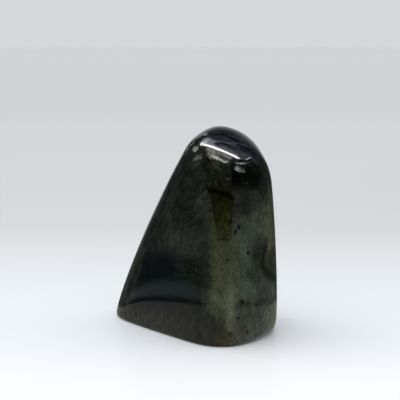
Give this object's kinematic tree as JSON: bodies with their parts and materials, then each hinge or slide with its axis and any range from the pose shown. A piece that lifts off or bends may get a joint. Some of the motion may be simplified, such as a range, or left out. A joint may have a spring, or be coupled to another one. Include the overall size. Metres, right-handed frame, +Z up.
{
  "type": "polished labradorite stone",
  "caption": "Free-form polished dark green-grey feldspar stone with a rounded front ridge and a tilted top face, standing on a flat sawn foot.",
  "frame": {"origin": "middle of the bounding box, at the level of the flat foot", "axes": "+Z up through the top of the stone, -Y out of the rounded front ridge, +X to the right as seen from the front"},
  "size_m": [0.0686, 0.0764, 0.0852],
  "materials": {
    "stone": "hand polished to a gloss, dark green-grey with an olive band down the front ridge and a dull blue sheen"
  },
  "bodies": {
    "root": {"stone": "stone"}
  },
  "joints": []
}
